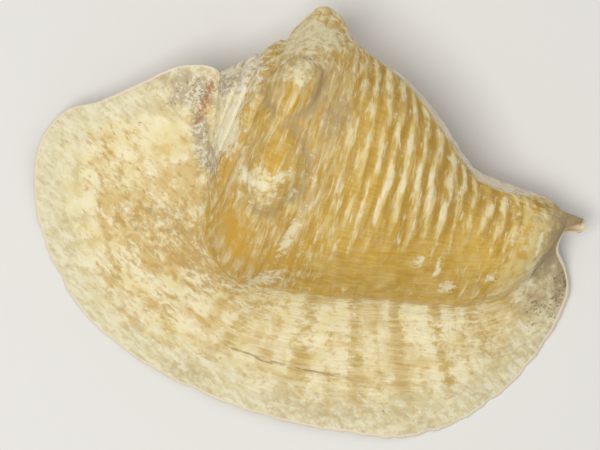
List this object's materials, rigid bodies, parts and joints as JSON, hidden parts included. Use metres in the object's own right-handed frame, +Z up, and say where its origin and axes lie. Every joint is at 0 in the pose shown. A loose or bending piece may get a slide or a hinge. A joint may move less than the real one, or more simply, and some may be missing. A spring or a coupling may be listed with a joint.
{
  "type": "conch shell",
  "caption": "Large heavy conch shell with a knobbed spire and a very wide flared lip, lying mouth down; hollow mouth under the wing and a short open canal at the front.",
  "frame": {"origin": "centre of the shell's box, on the surface it rests on", "axes": "+X towards the front canal, +Y towards the knobbed back, +Z up out of the shell's back"},
  "size_m": [0.3222, 0.2488, 0.1275],
  "materials": {
    "shell": "weathered shell, chalky with a faint sheen, smooth and glossier inside the mouth"
  },
  "bodies": {
    "root": {"shell": "shell"}
  },
  "joints": []
}
